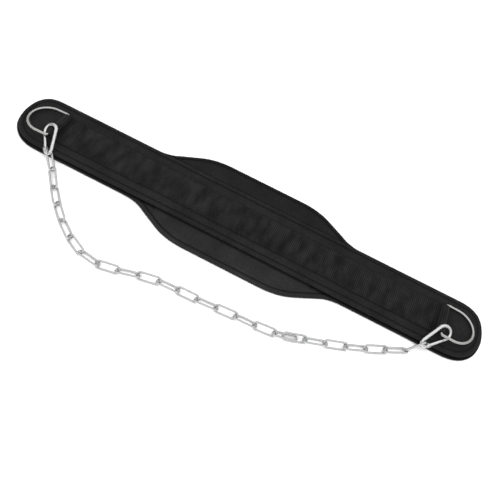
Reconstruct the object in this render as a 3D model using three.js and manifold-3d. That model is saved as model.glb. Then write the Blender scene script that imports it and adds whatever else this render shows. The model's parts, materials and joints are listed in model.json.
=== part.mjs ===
// Weightlifting belt with a chain, lying open on a surface. Millimetres, +Z up.
// The long axis runs along X, the chain lies on the -Y side, and the underside's centre is the origin.
import * as THREE from "three";
import { mergeVertices } from "three/addons/utils/BufferGeometryUtils.js";
import Module from "manifold-3d";

const wasm = await Module();
wasm.setup();

// Gaps between pieces
const LAYER_GAP = 0.3;
const RING_FIT = 0.6;
const HINGE_FIT = 0.3;
const RIVET_FIT = 0.1;
const LINK_SLACK = 1.7;
const FLOOR_GAP = 0.05;

// Foam base pad
const BELT_LENGTH = 770;
const BAND_WIDTH = 97;
const BACK_WIDTH = 166;
const BACK_FLAT_LENGTH = 170;
const BACK_LENGTH = 318;
const BACK_CORNER_RUN = 42;
const BASE_THICKNESS = 7;
const BASE_EDGE_ROUND = 2;
// A wing's flank, from its foot on the band's edge to its flat: out as a share of the corner run and up
const WING_FLANK = [
  { base: "foot", out: 0.4, up: 0 },
  { base: "foot", out: -0.1, up: 0 },
  { base: "foot", out: -0.45, up: 0.3 },
  { base: "flat", out: 0.5, up: 0.78 },
  { base: "flat", out: 0, up: 1 },
  { base: "flat", out: -0.5, up: 1 },
];
// How far foot and flat draw in along the belt, as shares of an inset
const FOOT_INSET = 0.6;
const FLAT_INSET = 0.4;

// Padded band on the base pad
const OVERLAY_INSET = 3;
const OVERLAY_THICKNESS = 4;
const OVERLAY_EDGE_ROUND = 1.2;

// Stitched lines pressed into the pads
const OVERLAY_STITCH_INSET = 7.5;
const WING_STITCH_INSET = 6.5;
const STITCH_WIDTH = 1.6;
const STITCH_DEPTH = 0.9;

// Rounded ends. Run is how far a corner reaches along the belt, in half widths, and square is how full it is
const END_CORNERS = [
  { end: 1, side: 1, run: 0.86, square: 0.64 },
  { end: 1, side: -1, run: 1.0, square: 0.6 },
  { end: -1, side: -1, run: 1.08, square: 0.58 },
  { end: -1, side: 1, run: 0.76, square: 0.64 },
];

// Webbing strap
const STRAP_WIDTH = 48;
const STRAP_THICKNESS = 1.4;
const STRAP_MARGIN = 23;
const FOLD_TAIL = 33;
const FOLD_SEAM = 9;

// D-rings
const RING_WIRE = 4;
const RING_SPACING = 638;
const RING_SIDE_ROOM = 1.5;
const RING_DEPTH = 46;
const RING_CORNER = 3;
const RING_LIFT = 7.6;
const RING_DROOP = 2.6;

// Snap hooks
const HOOK_WIRE = 5;
const HOOK_LENGTH = 51;
const HOOK_WIDTH = 25;
const HOOK_EYE = 5.5;
const GATE_WIRE = 4.4;
const GATE_TOP = 18;
const GATE_TIP_GAP = 0.4;
const GATE_HINGE_BACK = 1.5;
const HINGE_RADIUS = 2.7;
const TONGUE_THICKNESS = 2;
const TONGUE_ROOT = 0.5;
const EAR_SPAN = 4.8;
const RIVET_RADIUS = 0.9;
const RIVET_HEAD = 1.5;
const RIVET_HEAD_HEIGHT = 0.5;
// Where each hook's middle lies: inward from its ring's bar, beyond the strap's near edge, above the bar.
// Its heading runs from the wide end to the narrow one
const HOOKS = [
  { name: "left", end: -1, inward: 6.6, beyond: 5.7, above: 5.6, heading: -62.5, pitch: 13.4, roll: 30 },
  { name: "right", end: 1, inward: 4.2, beyond: 8.6, above: 4.6, heading: -127.6, pitch: 12.9, roll: -31.5 },
];

// Chain
const LINK_COUNT = 24;
const LINK_WIRE = 3.2;
const LINK_LENGTH = 37;
const LINK_WIDTH = 14;
const SLACK_PLACE = 0.7;
const SLACK_OVERLAP = 15;
// The chain's route between the snap hooks, as shares of the way along, the sag and the height at the hooks
const CHAIN_ROUTE = [
  { along: 0.0, sag: 0.0, height: 1.0 },
  { along: 0.025, sag: 0.14, height: 0.5 },
  { along: 0.056, sag: 0.34, height: 0.0 },
  { along: 0.12, sag: 0.68, height: 0.0 },
  { along: 0.193, sag: 0.93, height: 0.0 },
  { along: 0.253, sag: 1.0, height: 0.0 },
  { along: 0.39, sag: 0.84, height: 0.0 },
  { along: 0.487, sag: 0.82, height: 0.0 },
  { along: 0.585, sag: 0.78, height: 0.0 },
  { along: 0.678, sag: 0.75, height: 0.0 },
  { along: 0.76, sag: 0.62, height: 0.0 },
  { along: 0.85, sag: 0.46, height: 0.0 },
  { along: 0.925, sag: 0.28, height: 0.0 },
  { along: 0.97, sag: 0.17, height: 0.19 },
  { along: 1.0, sag: 0.0, height: 1.0 },
];
// How far the links are rolled about their own length, and the ones near the hooks that lie otherwise
const ODD_ROLL = -35;
const EVEN_ROLL = 38;
const END_ROLLS = [
  { end: -1, nth: 1, roll: -52 },
  { end: -1, nth: 2, roll: 36 },
  { end: 1, nth: 3, roll: 37 },
  { end: 1, nth: 2, roll: -35 },
  { end: 1, nth: 1, roll: -85 },
];

const STRAP_STEPS = 12;
const WIRE_SIDES = 8;
const LINK_SIDES = 6;
const LINK_ARC_STEPS = 5;
const RING_BOW_STEPS = 16;
const RING_CORNER_STEPS = 3;
const HOOK_ARC_STEPS = 12;
const EYE_ARC_STEPS = 6;
const DISC_SIDES = 12;
const RIVET_SIDES = 12;

const HEIGHT_OVERLAY = BASE_THICKNESS + LAYER_GAP;
const HEIGHT_STRAP = HEIGHT_OVERLAY + OVERLAY_THICKNESS + LAYER_GAP;
const STRAP_OFFSET = STRAP_MARGIN + STRAP_WIDTH / 2 - BAND_WIDTH / 2;
const STRAP_NEAR_EDGE = STRAP_OFFSET - STRAP_WIDTH / 2;
const BAR_X = RING_SPACING / 2;
const RING_INSIDE_WIDTH = STRAP_WIDTH + 2 * RING_SIDE_ROOM;
const EYE_RADIUS = RING_WIRE / 2 + RING_FIT;
const FOLD_RADIUS = EYE_RADIUS + STRAP_THICKNESS;
const BAR_HEIGHT = HEIGHT_STRAP + FOLD_RADIUS;

const degrees = THREE.MathUtils.degToRad;
const lean = RING_LIFT / STRAP_WIDTH;

const materials = {
  pad: new THREE.MeshStandardMaterial({ color: 0x2c2d2f, roughness: 0.95, metalness: 0 }),
  webbing: new THREE.MeshStandardMaterial({ color: 0x232324, roughness: 0.9, metalness: 0 }),
  nickel: new THREE.MeshStandardMaterial({ color: 0xc9c4be, roughness: 0.2, metalness: 1 }),
  zinc: new THREE.MeshStandardMaterial({ color: 0xd4d7db, roughness: 0.3, metalness: 1 }),
};

function positionsOnly(geometry) {
  const bare = geometry.clone();
  bare.deleteAttribute("normal");
  bare.deleteAttribute("uv");
  return mergeVertices(bare, 1e-4);
}

function toSolid(geometry) {
  const merged = positionsOnly(geometry);
  return new wasm.Manifold(
    new wasm.Mesh({
      numProp: 3,
      vertProperties: new Float32Array(merged.attributes.position.array),
      triVerts: new Uint32Array(merged.index.array),
    }),
  );
}

function toGeometry(solid) {
  const mesh = solid.getMesh();
  const geometry = new THREE.BufferGeometry();
  geometry.setAttribute("position", new THREE.BufferAttribute(new Float32Array(mesh.vertProperties), 3));
  geometry.setIndex(new THREE.BufferAttribute(new Uint32Array(mesh.triVerts), 1));
  geometry.computeVertexNormals();
  return geometry;
}

function polygonSection(radius, sides) {
  const corners = [];
  for (let i = 0; i < sides; i++) {
    const angle = (2 * Math.PI * (i + 0.5)) / sides;
    corners.push(new THREE.Vector2(radius * Math.cos(angle), radius * Math.sin(angle)));
  }
  return new THREE.Shape(corners);
}

// A wire's path with a station at each of its points, and one direction where a closed path meets itself.
class WirePath extends THREE.CatmullRomCurve3 {
  getUtoTmapping(share) {
    return share;
  }

  getTangent(share, target = new THREE.Vector3()) {
    const step = 1e-4;
    const wrap = (place) => (this.closed ? (place + 1) % 1 : THREE.MathUtils.clamp(place, 0, 1));
    const ahead = this.getPoint(wrap(share + step));
    const behind = this.getPoint(wrap(share - step));
    return target.subVectors(ahead, behind).normalize();
  }
}

// Points round an arc, first and last included.
function arcPoints(x, y, radius, from, to, steps) {
  return Array.from({ length: steps + 1 }, (_, i) => {
    const angle = from + ((to - from) * i) / steps;
    return new THREE.Vector3(x + radius * Math.cos(angle), y + radius * Math.sin(angle), 0);
  });
}

// A closed ring of wire through points in the XY plane, the first one halfway along a straight.
function wireRing(points, radius, sides) {
  const swept = new THREE.ExtrudeGeometry(polygonSection(radius, sides), {
    steps: points.length,
    extrudePath: new WirePath(points, true),
  });
  const walls = swept.groups[1];
  const end = walls.start + walls.count;
  const corners = swept.attributes.position.array.slice(3 * walls.start, 3 * end);
  const open = new THREE.BufferGeometry().setAttribute("position", new THREE.BufferAttribute(corners, 3));
  const ring = mergeVertices(open, 1e-4);
  ring.computeVertexNormals();
  return ring;
}

function wireRod(points, radius, sides) {
  return new THREE.ExtrudeGeometry(polygonSection(radius, sides), {
    steps: points.length - 1,
    extrudePath: new WirePath(points, false),
  });
}

// The band's outline, drawn in by an inset, with the back's wings where asked for.
function beltOutline(inset, withWings) {
  const half = BELT_LENGTH / 2 - inset;
  const side = BAND_WIDTH / 2 - inset;
  const back = BACK_WIDTH / 2 - inset;
  const bases = {
    foot: BACK_LENGTH / 2 - FOOT_INSET * inset,
    flat: BACK_FLAT_LENGTH / 2 - FLAT_INSET * inset,
  };
  const shape = new THREE.Shape();
  const corner = ({ end, side: face, run, square }) => ({
    x: end * half,
    y: face * side,
    start: end * (half - run * side),
    bend: end * (half - run * side * (1 - square)),
    pull: face * side * square,
  });
  const flank = (end, face) =>
    WING_FLANK.map(({ base, out, up }) => [
      end * (bases[base] + out * BACK_CORNER_RUN),
      face * (side + up * (back - side)),
    ]);
  const trace = ([start, startPull, slopeStart, slopeEnd, endPull, finish]) => {
    shape.lineTo(...start);
    shape.quadraticCurveTo(...startPull, ...slopeStart);
    shape.lineTo(...slopeEnd);
    shape.quadraticCurveTo(...endPull, ...finish);
  };
  const [farRight, nearRight, nearLeft, farLeft] = END_CORNERS.map(corner);
  shape.moveTo(farRight.x, 0);
  shape.bezierCurveTo(farRight.x, farRight.pull, farRight.bend, farRight.y, farRight.start, farRight.y);
  if (withWings) {
    trace(flank(1, 1));
    trace(flank(-1, 1).reverse());
  }
  shape.lineTo(farLeft.start, farLeft.y);
  shape.bezierCurveTo(farLeft.bend, farLeft.y, farLeft.x, farLeft.pull, farLeft.x, 0);
  shape.bezierCurveTo(nearLeft.x, nearLeft.pull, nearLeft.bend, nearLeft.y, nearLeft.start, nearLeft.y);
  if (withWings) {
    trace(flank(-1, -1));
    trace(flank(1, -1).reverse());
  }
  shape.lineTo(nearRight.start, nearRight.y);
  shape.bezierCurveTo(nearRight.bend, nearRight.y, nearRight.x, nearRight.pull, nearRight.x, 0);
  return shape;
}

// A pad with rounded edges and a stitched line pressed in along its border.
function pad(inset, withWings, thickness, edgeRound, stitchInset, height) {
  const body = new THREE.ExtrudeGeometry(beltOutline(inset + edgeRound, withWings), {
    depth: thickness - 2 * edgeRound,
    curveSegments: 7,
    bevelEnabled: true,
    bevelThickness: edgeRound,
    bevelSize: edgeRound,
    bevelSegments: 2,
  });
  body.translate(0, 0, height + edgeRound);
  const line = beltOutline(inset + stitchInset - STITCH_WIDTH / 2, withWings);
  line.holes.push(beltOutline(inset + stitchInset + STITCH_WIDTH / 2, withWings));
  const groove = new THREE.ExtrudeGeometry(line, {
    depth: 2 * STITCH_DEPTH,
    curveSegments: 5,
    bevelEnabled: false,
  });
  groove.translate(0, 0, height + thickness - STITCH_DEPTH);
  return toGeometry(toSolid(body).subtract(toSolid(groove)));
}

// A strip laid along the band, folded up round both ring bars and back onto itself.
function strap() {
  const seam = BAR_X - FOLD_SEAM;
  const tail = BAR_X - FOLD_TAIL;
  const under = HEIGHT_STRAP + STRAP_THICKNESS / 2;
  const upper = under + STRAP_THICKNESS + LAYER_GAP;
  const radius = FOLD_RADIUS - STRAP_THICKNESS / 2;
  const half = [
    [tail, under],
    [seam, under],
  ];
  for (let angle = -90; angle <= 120; angle += 30) {
    half.push([BAR_X + radius * Math.cos(degrees(angle)), BAR_HEIGHT + radius * Math.sin(degrees(angle))]);
  }
  half.push([seam, upper], [tail, upper]);
  const middle = [];
  for (let i = 1; i < STRAP_STEPS; i++) middle.push([tail * ((2 * i) / STRAP_STEPS - 1), under]);
  const outline = [...half.map(([x, z]) => [-x, z]).reverse(), ...middle, ...half];
  const route = outline.map(([x, z]) => new THREE.Vector3(x, 0, z));
  const section = new THREE.Shape([
    new THREE.Vector2(-STRAP_WIDTH / 2, -STRAP_THICKNESS / 2),
    new THREE.Vector2(STRAP_WIDTH / 2, -STRAP_THICKNESS / 2),
    new THREE.Vector2(STRAP_WIDTH / 2, STRAP_THICKNESS / 2),
    new THREE.Vector2(-STRAP_WIDTH / 2, STRAP_THICKNESS / 2),
  ]);
  const body = new THREE.ExtrudeGeometry(section, {
    steps: route.length - 1,
    extrudePath: new WirePath(route, false),
  });
  const places = body.attributes.position;
  for (let i = 0; i < places.count; i++) {
    const outward = (Math.abs(places.getX(i)) - seam) / (BAR_X - FOLD_RADIUS - seam);
    const lift = lean * (STRAP_WIDTH / 2 - places.getY(i)) * THREE.MathUtils.clamp(outward, 0, 1);
    places.setZ(i, places.getZ(i) + lift);
  }
  body.translate(0, STRAP_OFFSET, 0);
  body.computeVertexNormals();
  return body;
}

// A D-ring with its bar on the Y axis and its bow towards +X.
function dRing() {
  const side = (RING_INSIDE_WIDTH + RING_WIRE) / 2;
  const inner = side - RING_CORNER;
  const points = [
    new THREE.Vector3(0, 0, 0),
    ...arcPoints(RING_CORNER, -inner, RING_CORNER, Math.PI, 1.5 * Math.PI, RING_CORNER_STEPS),
    ...arcPoints(RING_DEPTH - side, 0, side, -Math.PI / 2, Math.PI / 2, RING_BOW_STEPS),
    ...arcPoints(RING_CORNER, inner, RING_CORNER, Math.PI / 2, Math.PI, RING_CORNER_STEPS),
  ];
  return wireRing(points, RING_WIRE / 2, WIRE_SIDES);
}

// A snap hook's wire runs round a wide end at the origin and a narrow eye on -Y, its gate's limb on +X.
const hookWide = (HOOK_WIDTH - HOOK_WIRE) / 2;
const hookSpan = HOOK_LENGTH - HOOK_WIRE - hookWide - HOOK_EYE;
const hookTaper = Math.asin((hookWide - HOOK_EYE) / hookSpan);
const hookLimb = hookSpan * Math.cos(hookTaper);

function limbPoint(along, side = 1) {
  return new THREE.Vector3(
    side * (hookWide * Math.cos(hookTaper) - along * Math.sin(hookTaper)),
    -hookWide * Math.sin(hookTaper) - along * Math.cos(hookTaper),
    0,
  );
}

const gateTop = (GATE_TOP - HOOK_WIRE / 2 - hookWide * (1 + Math.sin(hookTaper))) / Math.cos(hookTaper);
const hingeAlong = hookLimb - GATE_HINGE_BACK;
const hinge = limbPoint(hingeAlong);

function disc(radius, halfHeight, sides) {
  const solid = new THREE.CylinderGeometry(radius, radius, 2 * halfHeight, sides);
  solid.rotateX(Math.PI / 2);
  solid.translate(hinge.x, hinge.y, 0);
  return toSolid(solid);
}

function hookBody() {
  const points = [
    limbPoint(gateTop),
    ...arcPoints(0, 0, hookWide, -hookTaper, Math.PI + hookTaper, HOOK_ARC_STEPS),
    limbPoint(hookLimb / 2, -1),
    ...arcPoints(0, -hookSpan, HOOK_EYE, Math.PI + hookTaper, 2 * Math.PI - hookTaper, EYE_ARC_STEPS),
    hinge,
  ];
  const relief = disc(HINGE_RADIUS + HINGE_FIT, HOOK_WIRE, DISC_SIDES);
  const root = disc(HINGE_RADIUS + HINGE_FIT + TONGUE_ROOT, TONGUE_THICKNESS / 2, DISC_SIDES);
  const wire = toSolid(wireRod(points, HOOK_WIRE / 2, WIRE_SIDES));
  return toGeometry(
    wire
      .subtract(relief)
      .add(wire.intersect(root))
      .add(disc(HINGE_RADIUS - HINGE_FIT, TONGUE_THICKNESS / 2, DISC_SIDES))
      .subtract(disc(RIVET_RADIUS + RIVET_FIT, HOOK_WIRE, RIVET_SIDES)),
  );
}

function gate() {
  const slot = TONGUE_THICKNESS / 2 + HINGE_FIT;
  const rod = toSolid(wireRod([limbPoint(gateTop + GATE_TIP_GAP), hinge], GATE_WIRE / 2, WIRE_SIDES));
  return toGeometry(
    rod
      .add(disc(HINGE_RADIUS, EAR_SPAN / 2, DISC_SIDES))
      .subtract(disc(HINGE_RADIUS + HINGE_FIT, slot, DISC_SIDES))
      .subtract(disc(RIVET_RADIUS + RIVET_FIT, HOOK_WIRE, RIVET_SIDES)),
  );
}

function rivet() {
  const under = EAR_SPAN / 2 + HINGE_FIT;
  const top = under + RIVET_HEAD_HEIGHT;
  const upper = [
    [RIVET_RADIUS, under],
    [RIVET_HEAD, under],
    [RIVET_HEAD, top],
    [0, top],
  ];
  const lower = upper.map(([r, y]) => [r, -y]).reverse();
  const profile = [...lower, ...upper].map(([r, y]) => new THREE.Vector2(r, y));
  const body = new THREE.LatheGeometry(profile, RIVET_SIDES);
  body.rotateX(Math.PI / 2);
  body.translate(hinge.x, hinge.y, 0);
  return body;
}

function link() {
  const side = (LINK_WIDTH - LINK_WIRE) / 2;
  const straight = (LINK_LENGTH - LINK_WIDTH) / 2;
  const points = [
    new THREE.Vector3(0, -side, 0),
    ...arcPoints(straight, 0, side, -Math.PI / 2, Math.PI / 2, LINK_ARC_STEPS),
    new THREE.Vector3(0, side, 0),
    ...arcPoints(-straight, 0, side, Math.PI / 2, 1.5 * Math.PI, LINK_ARC_STEPS),
  ];
  return wireRing(points, LINK_WIRE / 2, LINK_SIDES);
}

const belt = new THREE.Group();

function place(parent, name, geometry, material) {
  const mesh = new THREE.Mesh(geometry, material);
  mesh.name = name;
  parent.add(mesh);
  return mesh;
}

place(belt, "base_pad", pad(0, true, BASE_THICKNESS, BASE_EDGE_ROUND, WING_STITCH_INSET, 0), materials.pad);
place(
  belt,
  "overlay_band",
  pad(OVERLAY_INSET, false, OVERLAY_THICKNESS, OVERLAY_EDGE_ROUND, OVERLAY_STITCH_INSET, HEIGHT_OVERLAY),
  materials.pad,
);
place(belt, "strap", strap(), materials.webbing);

// The rings lean up towards the chain, as their bars sit on the snap hooks there, and droop onto the band.
for (const hook of HOOKS) {
  const ring = place(belt, "d_ring_" + hook.name, dRing(), materials.nickel);
  ring.position.set(hook.end * BAR_X, STRAP_OFFSET, BAR_HEIGHT + RING_LIFT / 2);
  ring.rotation.set(-Math.atan(lean), degrees(hook.end * RING_DROOP), hook.end < 0 ? Math.PI : 0, "XYZ");
}

// Each snap hook is placed by its middle, and its eye gives the chain's end.
const hookMiddle = (HOOK_EYE + hookSpan - hookWide) / 2;
const chainEnds = HOOKS.map((hook) => {
  const side = Math.sign(hook.roll);
  const group = new THREE.Group();
  const x = hook.end * (BAR_X - hook.inward);
  group.position.set(x, STRAP_NEAR_EDGE - hook.beyond, BAR_HEIGHT + hook.above);
  group.rotation.set(0, 0, degrees(hook.heading + 90), "ZXY");
  const tilted = new THREE.Group();
  tilted.rotation.set(degrees(hook.pitch), degrees(-hook.roll), 0, "XYZ");
  const laid = new THREE.Group();
  laid.position.y = hookMiddle;
  laid.rotation.y = side > 0 ? Math.PI : 0;
  belt.add(group);
  group.add(tilted);
  tilted.add(laid);
  place(laid, "carabiner_" + hook.name, hookBody(), materials.zinc);
  place(laid, "gate_" + hook.name, gate(), materials.zinc);
  place(laid, "gate_rivet_" + hook.name, rivet(), materials.zinc);
  belt.updateMatrixWorld(true);
  return laid.localToWorld(new THREE.Vector3(0, -hookSpan, 0));
});

// The chain's curve for a given sag, from the left eye to the right one.
const linkReach = (LINK_LENGTH - LINK_WIRE) / 2;
const linkSide = (LINK_WIDTH - LINK_WIRE) / 2;
const linkStraight = (LINK_LENGTH - LINK_WIDTH) / 2;
const linkPitch = 2 * linkReach - LINK_WIRE - LINK_SLACK;
const chainLength = (LINK_COUNT - 1) * linkPitch + 2 * linkReach - SLACK_OVERLAP;

function chainCurve(sag) {
  const [start, finish] = chainEnds;
  const points = CHAIN_ROUTE.map((row) => {
    const point = start.clone().lerp(finish, row.along);
    point.y -= row.sag * sag;
    point.z = LINK_WIRE + row.height * (point.z - LINK_WIRE);
    return point;
  });
  const curve = new THREE.CatmullRomCurve3(points, false, "centripetal");
  curve.arcLengthDivisions = 600;
  return curve;
}

function chainSag() {
  let low = 0;
  let high = chainLength / 2;
  for (let i = 0; i < 30; i++) {
    const middle = (low + high) / 2;
    if (chainCurve(middle).getLength() < chainLength) low = middle;
    else high = middle;
  }
  return low;
}

const route = chainCurve(chainSag());
for (let i = 0; i < LINK_COUNT; i++) {
  const back = i >= SLACK_PLACE * LINK_COUNT ? SLACK_OVERLAP : 0;
  const along = linkReach + i * linkPitch - back;
  const from = route.getPointAt(Math.max(0, (along - linkReach) / chainLength));
  const to = route.getPointAt(Math.min(1, (along + linkReach) / chainLength));
  const heading = Math.atan2(to.y - from.y, to.x - from.x);
  const pitch = Math.atan2(to.z - from.z, Math.hypot(to.x - from.x, to.y - from.y));
  const number = i + 1;
  const special = END_ROLLS.find((row) => row.nth === (row.end < 0 ? number : LINK_COUNT + 1 - number));
  const roll = degrees(special ? special.roll : number % 2 ? ODD_ROLL : EVEN_ROLL);
  const rise = linkSide * Math.abs(Math.sin(roll)) + linkStraight * Math.abs(Math.sin(pitch));
  const lowest = FLOOR_GAP + LINK_WIRE / 2 + rise;
  const ring = place(belt, "link_" + String(number).padStart(2, "0"), link(), materials.zinc);
  ring.position.copy(from).add(to).divideScalar(2);
  ring.position.z = Math.max(lowest, ring.position.z);
  ring.rotation.set(roll, -pitch, heading, "ZYX");
}

export default belt;
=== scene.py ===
"""A weightlifting belt with a chain, lying open on a pale floor."""

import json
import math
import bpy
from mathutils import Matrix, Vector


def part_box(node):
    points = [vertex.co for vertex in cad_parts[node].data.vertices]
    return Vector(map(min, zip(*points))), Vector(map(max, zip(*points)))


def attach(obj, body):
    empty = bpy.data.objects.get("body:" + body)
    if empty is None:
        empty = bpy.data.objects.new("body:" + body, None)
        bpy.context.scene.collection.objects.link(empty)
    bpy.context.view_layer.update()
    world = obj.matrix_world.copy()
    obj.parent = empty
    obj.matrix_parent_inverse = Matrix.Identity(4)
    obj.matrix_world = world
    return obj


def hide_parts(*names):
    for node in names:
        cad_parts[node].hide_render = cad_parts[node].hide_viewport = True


bl_info = {
    "name": "Weightlifting Belt",
    "version": (1, 0, 0),
    "blender": (4, 5, 0),
    "location": "View3D > Sidebar > Belt",
    "description": "Pads, webbing, rings, snap hooks and chain of a weightlifting belt",
    "category": "Object",
}

from typing import NamedTuple

import bmesh
import bpy
import numpy as np
from bpy.props import FloatProperty, FloatVectorProperty, IntProperty, PointerProperty
from mathutils import Matrix, Vector, noise
from mathutils.kdtree import KDTree

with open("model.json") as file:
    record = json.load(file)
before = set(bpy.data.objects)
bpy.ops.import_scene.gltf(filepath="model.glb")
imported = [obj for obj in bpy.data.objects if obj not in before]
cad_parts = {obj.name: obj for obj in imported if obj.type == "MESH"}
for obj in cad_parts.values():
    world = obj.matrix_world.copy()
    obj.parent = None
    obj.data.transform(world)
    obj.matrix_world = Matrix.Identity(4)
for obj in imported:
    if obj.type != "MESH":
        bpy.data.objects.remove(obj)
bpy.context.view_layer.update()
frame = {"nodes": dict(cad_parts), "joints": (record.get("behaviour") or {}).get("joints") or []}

SIDES = {"left": -1, "right": 1}
BOX = {name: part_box(name) for name in ("base_pad", "overlay_band", "strap")}
LINK_NODES = sorted(name for name in frame["nodes"] if name.startswith("link_"))
MERGE = 1e-6


class PadSettings(bpy.types.PropertyGroup):
    outline_step: FloatProperty(
        name="Outline step", description="Longest edge in a pad's outline", default=0.006, unit="LENGTH"
    )
    grid_step: FloatProperty(
        name="Grid step", description="Spacing of the points inside the border", default=0.006, unit="LENGTH"
    )
    base_stitch_inset: FloatProperty(
        name="Base stitch inset", description="Stitched line's distance from the base pad's edge",
        default=0.0065, unit="LENGTH",
    )
    band_stitch_inset: FloatProperty(
        name="Band stitch inset", description="Stitched line's distance from the band's edge",
        default=0.0075, unit="LENGTH",
    )
    wing_crown: FloatProperty(
        name="Wing crown", description="How far the back's wings swell between their border and the band",
        default=0.0022, unit="LENGTH",
    )
    unevenness: FloatProperty(
        name="Unevenness", description="Height of the soft dips in the cover", default=0.0005, unit="LENGTH"
    )
    # Painted shadow: how far the darkened cloth beside the band's edge reaches out on the base pad.
    painted_shadow_reach: FloatProperty(
        name="Shade reach", description="How far the dark cloth reaches out from under the band",
        default=0.0045, unit="LENGTH",
    )
    base_colour: FloatVectorProperty(
        name="Base cover", description="Colour of the base pad's smooth cover", subtype="COLOR",
        default=(0.0122, 0.0122, 0.0127),
    )
    band_colour: FloatVectorProperty(
        name="Band cover", description="Colour of the band's woven cover", subtype="COLOR",
        default=(0.0122, 0.0122, 0.0124),
    )


class StrapSettings(bpy.types.PropertyGroup):
    thickness: FloatProperty(
        name="Thickness", description="Thickness of the webbing", default=0.0014, unit="LENGTH"
    )
    bar_fit: FloatProperty(
        name="Bar fit", description="Play between a ring's bar and the fold round it",
        default=0.0006, unit="LENGTH",
    )
    seam: FloatProperty(
        name="Seam", description="Distance from a ring's bar to the seam that holds its fold",
        default=0.009, unit="LENGTH",
    )
    tail: FloatProperty(
        name="Tail", description="Distance from a ring's bar to the end of the folded strap",
        default=0.033, unit="LENGTH",
    )
    tail_press: FloatProperty(
        name="Tail press", description="How far the sewn tail's end is pressed into the layer under it",
        default=0.0013, unit="LENGTH",
    )
    tail_taper: FloatProperty(
        name="Tail taper", description="Length over which the pressed tail thins out",
        default=0.009, unit="LENGTH",
    )
    sway: FloatProperty(
        name="Sway", description="How far the sewn strap wanders to the side", default=0.0018, unit="LENGTH"
    )
    pucker: FloatProperty(
        name="Pucker", description="Height of the waves in the sewn strap", default=0.0023, unit="LENGTH"
    )
    colour: FloatVectorProperty(
        name="Webbing", description="Colour of the webbing", subtype="COLOR", default=(0.0085, 0.0085, 0.0087)
    )


class HardwareSettings(bpy.types.PropertyGroup):
    ring_wire: FloatProperty(name="Ring wire", description="D-ring's wire", default=0.004, unit="LENGTH")
    ring_inside: FloatProperty(
        name="Ring inside", description="Inside width of a D-ring along its bar", default=0.051, unit="LENGTH"
    )
    ring_depth: FloatProperty(
        name="Ring depth", description="From the bar's middle to the bow's", default=0.046, unit="LENGTH"
    )
    ring_corner: FloatProperty(
        name="Ring corner", description="Bend between bar and bow", default=0.003, unit="LENGTH"
    )
    hook_wire: FloatProperty(name="Hook wire", description="Snap hook's wire", default=0.005, unit="LENGTH")
    hook_length: FloatProperty(
        name="Hook length", description="Snap hook's length",
        default=0.051, unit="LENGTH",
    )
    hook_width: FloatProperty(
        name="Hook width", description="Snap hook's width",
        default=0.025, unit="LENGTH",
    )
    hook_eye: FloatProperty(
        name="Hook eye", description="Radius of the narrow end's middle line", default=0.0055, unit="LENGTH"
    )
    gate_wire: FloatProperty(name="Gate wire", description="Gate's thickness", default=0.0044, unit="LENGTH")
    gate_gap: FloatProperty(
        name="Gate gap", description="Play between the gate's tip and the hook's nose",
        default=0.0004, unit="LENGTH",
    )
    hinge_back: FloatProperty(
        name="Hinge back", description="From the end of the hook's straight limb to the gate's hinge",
        default=0.0015, unit="LENGTH",
    )
    hinge_radius: FloatProperty(
        name="Hinge radius", description="Radius of the gate's ears", default=0.0027, unit="LENGTH"
    )
    tongue: FloatProperty(
        name="Tongue", description="Thickness of the hook's tongue between the ears",
        default=0.002, unit="LENGTH",
    )
    rivet: FloatProperty(
        name="Rivet", description="Radius of the rivet's heads",
        default=0.0015, unit="LENGTH",
    )
    link_wire: FloatProperty(name="Link wire", description="Chain's wire", default=0.0032, unit="LENGTH")
    link_length: FloatProperty(
        name="Link length", description="Outside length of a link",
        default=0.037, unit="LENGTH",
    )
    link_width: FloatProperty(
        name="Link width", description="Outside width of a link",
        default=0.014, unit="LENGTH",
    )
    weld: FloatProperty(
        name="Weld", description="How far a link's weld stands out",
        default=0.00022, unit="LENGTH",
    )
    wire_sides: IntProperty(name="Wire sides", description="Sides of a wire's round section", default=16)
    nickel: FloatVectorProperty(
        name="Nickel", description="Colour of the D-rings", subtype="COLOR", default=(0.52, 0.515, 0.505)
    )
    hook_zinc: FloatVectorProperty(
        name="Hook zinc", description="Colour of the snap hooks", subtype="COLOR", default=(0.78, 0.78, 0.785)
    )
    chain_zinc: FloatVectorProperty(
        name="Chain zinc", description="Colour of the chain", subtype="COLOR", default=(0.62, 0.62, 0.625)
    )


class StitchSettings(bpy.types.PropertyGroup):
    length: FloatProperty(name="Length", description="Length of a stitch", default=0.0030, unit="LENGTH")
    pitch: FloatProperty(
        name="Pitch", description="From one stitch to the next",
        default=0.0040, unit="LENGTH",
    )
    thread: FloatProperty(name="Thread", description="Thickness of the thread", default=0.0007, unit="LENGTH")
    strap_inset: FloatProperty(
        name="Strap inset", description="Stitched line's distance from the strap's edge",
        default=0.0026, unit="LENGTH",
    )
    colour: FloatVectorProperty(
        name="Thread colour", description="Colour of the thread", subtype="COLOR",
        default=(0.012, 0.012, 0.013),
    )


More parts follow.
